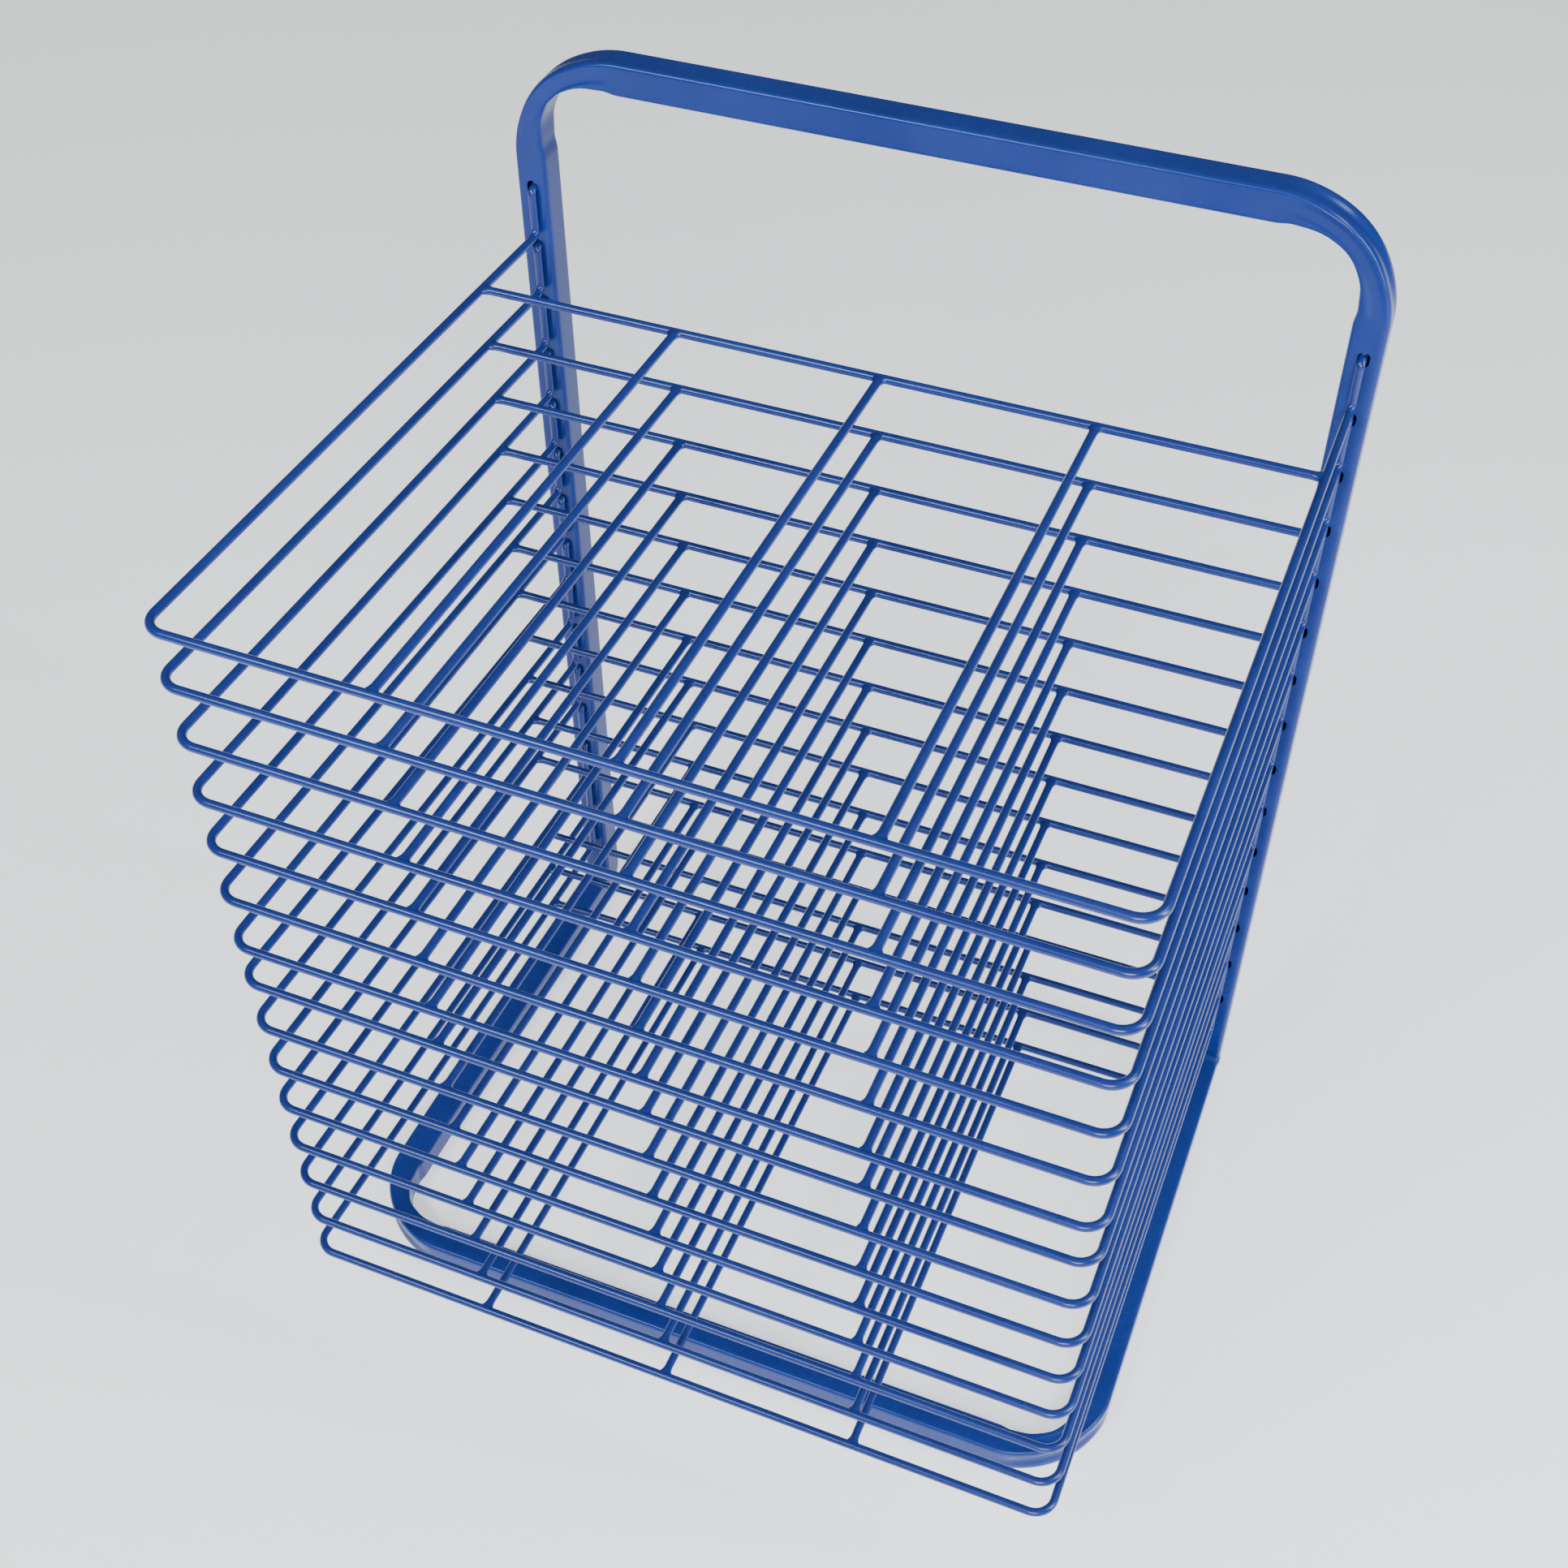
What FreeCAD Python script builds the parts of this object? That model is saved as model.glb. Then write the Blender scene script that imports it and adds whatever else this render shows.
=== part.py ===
# Table-top paper drying rack: a square-tube frame with fifteen hinged wire shelves.
#
# The frame is a hoop on top of two uprights on top of a U-shaped base that lies on the table. Inner sleeves
# join the tubes. Every shelf is a welded wire frame whose two bent-up legs hook into a pair of slots in the
# uprights, so it swings up about the line through its slots.
#
# Millimetres, +Z up, the front of the rack faces -Y. The origin is the centre of the rack's outline on the table.
import FreeCAD, Part
import math
import os

from FreeCAD import Vector

# ---- driving dimensions ------------------------------------------------------------------------------------
shelf_count = 15
shelves_on_hoop = 7             # the upper shelves hook into the hoop's legs, the rest into the uprights
shelf_pitch = 39.0              # height between neighbouring shelves
tube_size = 20.0                # outside of the square tube
tube_wall = 1.2
tube_corner = 2.5               # outside corner radius of the square tube
tube_spacing = 504.0            # between the centre lines of the two uprights
wire_diameter = 5.0

lowest_slot_height = 88.5       # the lowest pair of slots above the table
hoop_top_height = 724.0         # the top of the hoop above the table
hoop_bend_radius = 60.0         # centre line of the hoop's two corners
base_reach = 362.0              # from the uprights' front face forward to the front of the base
base_bend_radius = 52.0         # centre line of the base's front corners
stub_bend_radius = 13.0         # centre line of the tight bends up into the stubs
lower_joint_height = 59.0       # base stubs end here and the uprights start
upper_joint_drop = 11.0         # the hoop's legs end this far below their lowest slot
sleeve_length = 40.0
sleeve_thickness = 1.5

slot_width = 7.0
slot_height = 9.6
hook_inset = 0.7                # the hooks sit this far inboard of the middle of the slots
hook_bend_radius = 3.5          # both bends of the hook
hook_tail = 8.0                 # straight end inside the upright
leg_length = 30.8               # from the pivot down to the plane of the shelf
leg_bend_radius = 6.0
shelf_reach = 424.0             # from the uprights' front face to the front rail, along the shelf
shelf_rise = math.radians(3.0)  # a shelf climbs to the front when its legs hang plumb
hoop_shelf_turn = -0.5          # degrees that the shelves on the hoop settle from there, front downwards
upright_shelf_turn = 0.5        # and the shelves on the uprights, front upwards
shelf_corner_radius = 13.0
back_rail_reach = 74.0          # from the uprights' front face to the back rail, along the shelf
cross_wire_count = 3
weld_step = 0.5                 # the cross wires' ends stop this far short of the rails' centre lines
shortest_run = 0.001            # below this, two bends of a wire follow each other directly

# ---- worked out from them ----------------------------------------------------------------------------------
half_tube = tube_size / 2
wire_radius = wire_diameter / 2
leg_offset = hook_bend_radius - tube_wall / 2           # from the uprights' front face to the legs' centre line
front_drop = leg_length - (shelf_reach - leg_offset) * math.sin(shelf_rise)
front_run = (shelf_reach - leg_offset) * math.cos(shelf_rise) + hook_bend_radius
settled = math.radians(hoop_shelf_turn)
overhang = front_run * math.cos(settled) - front_drop * math.sin(settled) + wire_radius - tube_wall / 2
face_y = (overhang - tube_size) / 2                     # front face of the uprights
tube_y = face_y + half_tube                             # centre line of the uprights
pivot_y = face_y + tube_wall / 2                        # the hooks turn about the middle of the front wall
leg_y = face_y - leg_offset                             # centre line of the shelf legs
hook_x = tube_spacing / 2 - hook_inset
upper_joint_height = lowest_slot_height + (shelf_count - shelves_on_hoop) * shelf_pitch - upper_joint_drop
parts_folder = "parts"


def slot_level(number):
    """Height of the slots of a shelf; shelf 1 is the top one."""
    return lowest_slot_height + (shelf_count - number) * shelf_pitch


def save(shape, node):
    if not shape.isValid():
        raise ValueError(node + " is not a valid shape")
    shape.exportStep(os.path.join(parts_folder, node + ".step"))
    print(node, len(shape.Solids), "solid(s)", round(shape.Volume), "mm3")


# ---- square tube -------------------------------------------------------------------------------------------
def rounded_square(size, corner):
    """Wire of a square with round corners, in the XY plane about the origin."""
    half = size / 2
    inner = half - corner
    wire_edges = []
    for quarter in range(4):
        turn = FreeCAD.Rotation(Vector(0, 0, 1), 90 * quarter)
        side_start = turn.multVec(Vector(half, -inner, 0))
        side_end = turn.multVec(Vector(half, inner, 0))
        middle = inner + corner * math.sqrt(0.5)
        arc_middle = turn.multVec(Vector(middle, middle, 0))
        arc_end = turn.multVec(Vector(inner, half, 0))
        wire_edges.append(Part.makeLine(side_start, side_end))
        wire_edges.append(Part.Arc(side_end, arc_middle, arc_end).toShape())
    return Part.Wire(wire_edges)


def tube_section():
    outside = Part.Face(rounded_square(tube_size, tube_corner))
    inside = Part.Face(rounded_square(tube_size - 2 * tube_wall, tube_corner - tube_wall))
    return outside.cut(inside).Faces[0]


class TubeRun:
    """A tube that grows from one end: straight lengths and press bends, one after another."""

    def __init__(self, start, direction):
        self.face = tube_section()
        turn = FreeCAD.Rotation(Vector(0, 0, 1), direction)
        self.face.Placement = FreeCAD.Placement(start, turn)
        self.end = start
        self.direction = direction
        self.pieces = []

    def straight(self, length):
        step = self.direction * length
        self.pieces.append(self.face.extrude(step))
        self.face = self.face.translated(step)
        self.end = self.end + step

    def bend(self, towards, radius):
        """A quarter turn towards a direction at right angles to the run."""
        centre = self.end + towards * radius
        axis = self.direction.cross(towards)
        self.pieces.append(self.face.revolve(centre, axis, 90))
        self.face = self.face.rotated(centre, axis, 90)
        self.end = self.end + (towards + self.direction) * radius
        self.direction = towards

    def solid(self):
        return self.pieces[0].fuse(self.pieces[1:]).removeSplitter()


def slot_cutter(x, height):
    """A stadium-shaped punch through the front wall of an upright."""
    radius = slot_width / 2
    straight = slot_height - slot_width
    depth = tube_wall * 3
    start = Vector(x, face_y - tube_wall, height)
    block = Part.makeBox(slot_width, depth, straight, start - Vector(radius, 0, straight / 2))
    punch = [block]
    for end in (-1, 1):
        centre = start + Vector(0, 0, end * straight / 2)
        punch.append(Part.makeCylinder(radius, depth, centre, Vector(0, 1, 0)))
    return punch[0].fuse(punch[1:])


def cut_slots(tube, sides, numbers):
    cutters = [slot_cutter(side * tube_spacing / 2, slot_level(number)) for side in sides for number in numbers]
    return tube.cut(Part.makeCompound(cutters))


def make_top_hoop():
    leg = hoop_top_height - half_tube - hoop_bend_radius - upper_joint_height
    bar = tube_spacing - 2 * hoop_bend_radius
    run = TubeRun(Vector(-tube_spacing / 2, tube_y, upper_joint_height), Vector(0, 0, 1))
    run.straight(leg)
    run.bend(Vector(1, 0, 0), hoop_bend_radius)
    run.straight(bar)
    run.bend(Vector(0, 0, -1), hoop_bend_radius)
    run.straight(leg)
    return cut_slots(run.solid(), (-1, 1), range(1, shelves_on_hoop + 1))


def make_upright(side):
    run = TubeRun(Vector(side * tube_spacing / 2, tube_y, lower_joint_height), Vector(0, 0, 1))
    run.straight(upper_joint_height - lower_joint_height)
    return cut_slots(run.solid(), (side,), range(shelves_on_hoop + 1, shelf_count + 1))


def make_base_hoop():
    stub = lower_joint_height - half_tube - stub_bend_radius
    side = base_reach - stub_bend_radius - base_bend_radius
    front = tube_spacing - 2 * base_bend_radius
    run = TubeRun(Vector(-tube_spacing / 2, tube_y, lower_joint_height), Vector(0, 0, -1))
    run.straight(stub)
    run.bend(Vector(0, -1, 0), stub_bend_radius)
    run.straight(side)
    run.bend(Vector(1, 0, 0), base_bend_radius)
    run.straight(front)
    run.bend(Vector(0, 1, 0), base_bend_radius)
    run.straight(side)
    run.bend(Vector(0, 0, 1), stub_bend_radius)
    run.straight(stub)
    return run.solid()


def make_joint_sleeve(side, height):
    """A channel that fills the tube at a joint and is open at the front, clear of the hooks."""
    bore = tube_size - 2 * tube_wall
    outside = Part.Face(rounded_square(bore, tube_corner - tube_wall))
    channel = outside.extrude(Vector(0, 0, sleeve_length))
    hollow_width = bore - 2 * sleeve_thickness
    hollow_corner = Vector(-hollow_width / 2, -bore, -1)
    hollow = Part.makeBox(hollow_width, bore * 1.5 - sleeve_thickness, sleeve_length + 2, hollow_corner)
    channel = channel.cut(hollow)
    channel.translate(Vector(side * tube_spacing / 2, tube_y, height - sleeve_length / 2))
    return channel


# ---- wire shelves ------------------------------------------------------------------------------------------
def unit(vector):
    return Vector(vector).normalize()


def bent_wire(points, radii):
    """A round wire along straight runs, with the given centre line radius at each inner point."""
    edges = []
    start = points[0]
    for before, corner, after, radius in zip(points, points[1:], points[2:], radii):
        back = unit(before - corner)
        ahead = unit(after - corner)
        half_angle = back.getAngle(ahead) / 2
        trim = radius / math.tan(half_angle)
        arc_start = corner + back * trim
        arc_end = corner + ahead * trim
        centre = corner + unit(back + ahead) * (radius / math.sin(half_angle))
        arc_middle = centre + unit(corner - centre) * radius
        if not arc_start.isEqual(start, shortest_run):
            edges.append(Part.makeLine(start, arc_start))
        edges.append(Part.Arc(arc_start, arc_middle, arc_end).toShape())
        start = arc_end
    edges.append(Part.makeLine(start, points[-1]))
    path = Part.Wire(edges)
    section = Part.Wire([Part.makeCircle(wire_radius, points[0], points[1] - points[0])])
    return path.makePipeShell([section], True, False)


def shelf_point(x, reach):
    """A point in the plane of a shelf, at a distance forward of the uprights' front face along the shelf."""
    from_leg = reach - leg_offset
    return Vector(x, leg_y - from_leg * math.cos(shelf_rise), from_leg * math.sin(shelf_rise) - leg_length)


def make_shelf_rim():
    """One wire: tail, hook, leg, side rail, front rail, and the same again on the other side."""
    tail_y = pivot_y + hook_bend_radius
    radii = [hook_bend_radius, hook_bend_radius, leg_bend_radius, shelf_corner_radius]
    halves = []
    for side in (-1, 1):
        x = side * hook_x
        halves.append([
            Vector(x, tail_y, hook_bend_radius + hook_tail),
            Vector(x, tail_y, 0),
            Vector(x, leg_y, 0),
            shelf_point(x, leg_offset),
            shelf_point(x, shelf_reach),
        ])
    points = halves[0] + halves[1][::-1]
    return bent_wire(points, radii + radii[::-1])


def make_back_rail(rim):
    """A straight wire between the side rails, its ends saddled to butt against them."""
    start = shelf_point(-hook_x, back_rail_reach)
    rail = Part.makeCylinder(wire_radius, 2 * hook_x, start, Vector(1, 0, 0))
    return rail.cut(rim)


def make_cross_wires(rim, back_rail):
    """The wires that carry the paper, from the back rail to the front rail, in equal bays."""
    bay = 2 * hook_x / (cross_wire_count + 1)
    wires = []
    for index in range(cross_wire_count):
        x = -hook_x + bay * (index + 1)
        start = shelf_point(x, back_rail_reach + weld_step)
        end = shelf_point(x, shelf_reach - weld_step)
        wire = Part.makeCylinder(wire_radius, (end - start).Length, start, end - start)
        wires.append(wire.cut(rim).cut(back_rail))
    return Part.makeCompound(wires)


def make_shelf():
    """The three nodes of a shelf, with its hinge line at height 0."""
    rim = make_shelf_rim()
    back_rail = make_back_rail(rim)
    cross_wires = make_cross_wires(rim, back_rail)
    return {"rim": rim, "back_rail": back_rail, "cross_wires": cross_wires}


def main():
    os.makedirs(parts_folder, exist_ok=True)
    save(make_top_hoop(), "top_hoop")
    save(make_upright(-1), "left_upright")
    save(make_upright(1), "right_upright")
    save(make_base_hoop(), "base_hoop")
    for side_name, side in (("left", -1), ("right", 1)):
        save(make_joint_sleeve(side, lower_joint_height), "lower_" + side_name + "_sleeve")
        save(make_joint_sleeve(side, upper_joint_height), "upper_" + side_name + "_sleeve")
    shelf = make_shelf()
    hinge_line = Vector(0, pivot_y, 0)
    for number in range(1, shelf_count + 1):
        turn = hoop_shelf_turn if number <= shelves_on_hoop else upright_shelf_turn
        level = Vector(0, 0, slot_level(number))
        for piece_name, piece in shelf.items():
            hung = piece.rotated(hinge_line, Vector(-1, 0, 0), turn).translated(level)
            save(hung, "shelf_%02d_%s" % (number, piece_name))


main()
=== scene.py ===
# %% [markdown]
# # A wire drying rack, step by step
# This lesson dresses a table-top drying rack for paper: square steel tubes, bent in a press and powder
# coated blue, with fifteen welded wire shelves that hook into slots. The design already exists as a CAD
# model. It stays fixed, and each new piece takes the place of a CAD piece.

# %% Open the frame
import math
import random

import bmesh
import bpy
from mathutils import Matrix, Vector


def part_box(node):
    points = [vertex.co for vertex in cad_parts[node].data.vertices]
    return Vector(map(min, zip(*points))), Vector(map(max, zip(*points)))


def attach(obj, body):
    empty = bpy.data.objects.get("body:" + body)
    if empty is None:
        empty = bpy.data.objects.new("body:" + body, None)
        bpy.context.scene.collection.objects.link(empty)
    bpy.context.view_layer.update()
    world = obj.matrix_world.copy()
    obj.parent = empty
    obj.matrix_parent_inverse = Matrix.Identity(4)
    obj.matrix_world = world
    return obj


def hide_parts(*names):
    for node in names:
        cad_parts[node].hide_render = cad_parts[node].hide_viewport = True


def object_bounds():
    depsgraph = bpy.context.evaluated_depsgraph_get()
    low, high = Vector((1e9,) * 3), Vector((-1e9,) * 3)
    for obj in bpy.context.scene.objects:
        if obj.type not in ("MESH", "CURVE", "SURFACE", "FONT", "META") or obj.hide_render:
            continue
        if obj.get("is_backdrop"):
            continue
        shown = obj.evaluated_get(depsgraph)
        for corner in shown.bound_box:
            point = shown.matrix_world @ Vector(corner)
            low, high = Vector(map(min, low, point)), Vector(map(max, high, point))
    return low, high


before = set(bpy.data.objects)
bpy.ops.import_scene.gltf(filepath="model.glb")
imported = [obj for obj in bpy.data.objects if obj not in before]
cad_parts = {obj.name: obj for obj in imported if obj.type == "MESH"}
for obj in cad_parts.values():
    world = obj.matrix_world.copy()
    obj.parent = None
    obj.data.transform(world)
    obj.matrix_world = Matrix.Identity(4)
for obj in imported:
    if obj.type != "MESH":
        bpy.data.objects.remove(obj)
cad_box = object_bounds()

# %% [markdown]
# ## Sizes
# A maker draws a rack like this in millimetres, so the shapes below are drawn in millimetres too. They
# are brought to metres at the moment they become objects. The places of the tubes are read from the
# frame. The slots, the bends and the shelves repeat the design's own sizes, so they have to change with it.

# %% Sizes of the rack
MM = 0.001
TUBE = 20.0
TUBE_CORNER = 2.5
TUBE_WALL = 1.2
WIRE = 5.0
SHELVES = 15
SHELVES_ON_HOOP = 7
PITCH = 39.0
LOWEST_SLOT = 88.5
SLOT_WIDTH = 7.0
SLOT_HEIGHT = 9.6

low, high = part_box("left_upright")
LEG_X = -(low.x + high.x) / 2 / MM
FACE_Y = low.y / MM
TUBE_Y = FACE_Y + TUBE / 2
LOWER_JOINT = low.z / MM
UPPER_JOINT = high.z / MM
HOOP_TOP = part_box("top_hoop")[1].z / MM
BASE_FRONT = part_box("base_hoop")[0].y / MM


def slot_level(number):
    """Height of the slots that carry a shelf. Shelf 1 is the top one."""
    return LOWEST_SLOT + (SHELVES - number) * PITCH


print("uprights at x = +-%.1f, front face at y = %.2f" % (LEG_X, FACE_Y))
print("joints at %.1f and %.1f" % (LOWER_JOINT, UPPER_JOINT))

# %% [markdown]
# ## The camera
# Seen from above and from one side, the shelves open up like a fan. So the camera stands to the right of
# the rack, looks down at it by 45 degrees and keeps the whole rack in a square frame.

# %% Camera
CAMERA_PLACE = Vector((0.3211, FACE_Y * MM - 1.0179, 1.2771))
CAMERA_TURN = math.radians(21.908)
CAMERA_DOWN = math.radians(44.905)
CAMERA_ROLL = math.radians(-0.143)

lens = bpy.data.cameras.new("studio_camera")
lens.sensor_width = 36.0
lens.lens = 48.144
lens.clip_start = 0.05
camera = bpy.data.objects.new("studio_camera", lens)
bpy.context.scene.collection.objects.link(camera)
camera.matrix_world = (
    Matrix.Translation(CAMERA_PLACE)
    @ Matrix.Rotation(CAMERA_TURN, 4, "Z")
    @ Matrix.Rotation(math.pi / 2 - CAMERA_DOWN, 4, "X")
    @ Matrix.Rotation(CAMERA_ROLL, 4, "Z")
)
bpy.context.scene.camera = camera
print("camera", [round(value, 3) for value in CAMERA_PLACE])

# %% [markdown]
# ## The studio
# A glossy coat shows its surroundings as much as its own colour. Soft panels draw long, quiet highlights
# along the wires, where small lamps would only leave sparks. A wide key panel in front is the strongest
# lamp. The others stand to the front left, to the right and above, and their light is a little cooler.
# The floor is pale and plain. It glows only a little, because the coat mirrors a bright floor, and that
# washes out the blue.

# %% Floor
FLOOR_HALF_SIZE = 6.0
FLOOR_GLOW = 0.75

floor_mesh = bpy.data.meshes.new("floor")
shape = bmesh.new()
bmesh.ops.create_grid(shape, x_segments=1, y_segments=1, size=FLOOR_HALF_SIZE)
shape.to_mesh(floor_mesh)
shape.free()
floor = bpy.data.objects.new("floor", floor_mesh)
bpy.context.scene.collection.objects.link(floor)
floor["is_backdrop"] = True

paper_white = bpy.data.materials.new("pale_floor")
paper_white.use_nodes = True
nodes, links = paper_white.node_tree.nodes, paper_white.node_tree.links
grain = nodes.new("ShaderNodeTexNoise")
grain.inputs["Scale"].default_value = 3.0
tone = nodes.new("ShaderNodeMix")
tone.data_type = "RGBA"
tone.inputs["A"].default_value = (0.9, 0.9, 0.9, 1)
tone.inputs["B"].default_value = (0.92, 0.92, 0.92, 1)
where = nodes.new("ShaderNodeTexCoord")
links.new(where.outputs["Object"], grain.inputs["Vector"])
links.new(grain.outputs["Fac"], tone.inputs["Factor"])
links.new(tone.outputs["Result"], nodes["Principled BSDF"].inputs["Base Color"])
nodes["Principled BSDF"].inputs["Roughness"].default_value = 0.6
nodes["Principled BSDF"].inputs["Emission Color"].default_value = (1.0, 1.0, 1.0, 1)
nodes["Principled BSDF"].inputs["Emission Strength"].default_value = FLOOR_GLOW
floor_mesh.materials.append(paper_white)

# %% Lights
RACK_MIDDLE = Vector((0.0, 0.0, 0.35))
WHITE = (1.0, 1.0, 1.0)
COOL = (0.8, 0.92, 1.0)


def soft_panel(name, place, width, height, power, colour):
    """A rectangular softbox that faces the rack."""
    lamp = bpy.data.lights.new(name, "AREA")
    lamp.shape = "RECTANGLE"
    lamp.size = width
    lamp.size_y = height
    lamp.energy = power
    lamp.color = colour
    panel = bpy.data.objects.new(name, lamp)
    bpy.context.scene.collection.objects.link(panel)
    panel.location = place
    panel.rotation_euler = (RACK_MIDDLE - Vector(place)).to_track_quat("-Z", "Y").to_euler()


soft_panel("key_panel", (1.0, -2.3, 1.6), 1.2, 0.7, 66.0, WHITE)
soft_panel("rail_panel", (-0.75, -1.5, 2.0), 1.1, 0.42, 46.0, COOL)
soft_panel("side_panel", (2.1, 0.1, 1.25), 0.38, 1.5, 42.0, COOL)
soft_panel("top_strip", (1.3, 0.5, 2.0), 0.9, 0.2, 10.0, COOL)

world = bpy.data.worlds.new("studio_air")
bpy.context.scene.world = world
world.use_nodes = True
world.node_tree.nodes["Background"].inputs["Color"].default_value = (0.93, 0.96, 1.0, 1)
world.node_tree.nodes["Background"].inputs["Strength"].default_value = 0.13

# %% [markdown]
# ## Effects that the finishes share
# Powder coat melts onto the steel in the oven and sets with a faint orange-peel surface. The coat is a
# little uneven in shade, and a rack in use gathers a trace of dust on what faces up. Each effect is a
# node group with named inputs, so that every finish can use it with values of its own. A group only puts
# out colours, masks and heights, and the shader stays in the material.

# %% Node groups
def new_group(name, inputs, outputs):
    """An empty shader node group with the given (type, name, value) inputs and (type, name) outputs."""
    group = bpy.data.node_groups.new(name, "ShaderNodeTree")
    for kind, label, value in inputs:
        socket = group.interface.new_socket(name=label, in_out="INPUT", socket_type=kind)
        socket.default_value = value
    for kind, label in outputs:
        group.interface.new_socket(name=label, in_out="OUTPUT", socket_type=kind)
    return group, group.nodes.new("NodeGroupInput"), group.nodes.new("NodeGroupOutput")


def add_node(tree, kind, settings=None, **values):
    """A node with its settings made and its unlinked inputs filled in. Underscores stand for spaces."""
    node = tree.nodes.new(kind)
    for key, value in (settings or {}).items():
        setattr(node, key, value)
    for key, value in values.items():
        node.inputs[key.replace("_", " ")].default_value = value
    return node


FLOAT, COLOUR = "NodeSocketFloat", "NodeSocketColor"

# %% Orange peel
WAVE_SHARE = 0.6

peel, entry, leave = new_group(
    "orange_peel", [(FLOAT, "Grain", 700.0), (FLOAT, "Wave", 120.0)], [(FLOAT, "Height")]
)
place = add_node(peel, "ShaderNodeTexCoord")
fine = add_node(peel, "ShaderNodeTexNoise", Detail=2.0, Roughness=0.5)
wide = add_node(peel, "ShaderNodeTexNoise", Detail=1.0, Roughness=0.4)
sum_up = add_node(peel, "ShaderNodeMath", {"operation": "MULTIPLY_ADD"})
sum_up.inputs[1].default_value = WAVE_SHARE
for noise, label in ((fine, "Grain"), (wide, "Wave")):
    peel.links.new(place.outputs["Object"], noise.inputs["Vector"])
    peel.links.new(entry.outputs[label], noise.inputs["Scale"])
peel.links.new(wide.outputs["Fac"], sum_up.inputs[0])
peel.links.new(fine.outputs["Fac"], sum_up.inputs[2])
peel.links.new(sum_up.outputs["Value"], leave.inputs["Height"])

# %% Uneven shade
shade, entry, leave = new_group(
    "uneven_shade",
    [
        (COLOUR, "Thick Coat", (0.02, 0.08, 0.3, 1)),
        (COLOUR, "Thin Coat", (0.03, 0.1, 0.4, 1)),
        (FLOAT, "Patches", 14.0),
    ],
    [(COLOUR, "Colour"), (FLOAT, "Mask")],
)
place = add_node(shade, "ShaderNodeTexCoord")
cloud = add_node(shade, "ShaderNodeTexNoise", Detail=4.0, Roughness=0.6)
spread = add_node(shade, "ShaderNodeMapRange", From_Min=0.35, From_Max=0.65)
blend = add_node(shade, "ShaderNodeMix", {"data_type": "RGBA"})
shade.links.new(place.outputs["Object"], cloud.inputs["Vector"])
shade.links.new(entry.outputs["Patches"], cloud.inputs["Scale"])
shade.links.new(cloud.outputs["Fac"], spread.inputs["Value"])
shade.links.new(spread.outputs["Result"], blend.inputs["Factor"])
shade.links.new(entry.outputs["Thick Coat"], blend.inputs["A"])
shade.links.new(entry.outputs["Thin Coat"], blend.inputs["B"])
shade.links.new(blend.outputs["Result"], leave.inputs["Colour"])
shade.links.new(spread.outputs["Result"], leave.inputs["Mask"])

# %% Dust
dust, entry, leave = new_group(
    "dust_on_top", [(FLOAT, "Amount", 0.1), (FLOAT, "Speckle", 260.0)], [(FLOAT, "Mask")]
)
place = add_node(dust, "ShaderNodeTexCoord")
facing = add_node(dust, "ShaderNodeNewGeometry")
split = add_node(dust, "ShaderNodeSeparateXYZ")
upward = add_node(dust, "ShaderNodeMapRange", From_Min=0.4, From_Max=1.0)
specks = add_node(dust, "ShaderNodeTexNoise", Detail=3.0, Roughness=0.7)
strength = add_node(dust, "ShaderNodeMath", {"operation": "MULTIPLY"})
amount = add_node(dust, "ShaderNodeMath", {"operation": "MULTIPLY"})
dust.links.new(facing.outputs["Normal"], split.inputs["Vector"])
dust.links.new(split.outputs["Z"], upward.inputs["Value"])
dust.links.new(place.outputs["Object"], specks.inputs["Vector"])
dust.links.new(entry.outputs["Speckle"], specks.inputs["Scale"])
dust.links.new(upward.outputs["Result"], strength.inputs[0])
dust.links.new(specks.outputs["Fac"], strength.inputs[1])
dust.links.new(strength.outputs["Value"], amount.inputs[0])
dust.links.new(entry.outputs["Amount"], amount.inputs[1])
dust.links.new(amount.outputs["Value"], leave.inputs["Mask"])
print("groups", [group.name for group in bpy.data.node_groups])

# %% [markdown]
# ## Blue powder coat
# The coat is a deep blue with a satin gloss. The wires carry the same blue as the tubes, but their colours
# are painted slightly darker as painted shade, and they reflect a little more. So one recipe makes both,
# with different values. The gloss comes from the shader itself, and a bump from the orange peel breaks up its
# reflections.

# %% Coat materials
DUST_COLOUR = (0.42, 0.48, 0.58, 1)
PEEL_HEIGHT = 0.0003
GLOSSIER, DULLER = -0.03, 0.04


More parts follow.
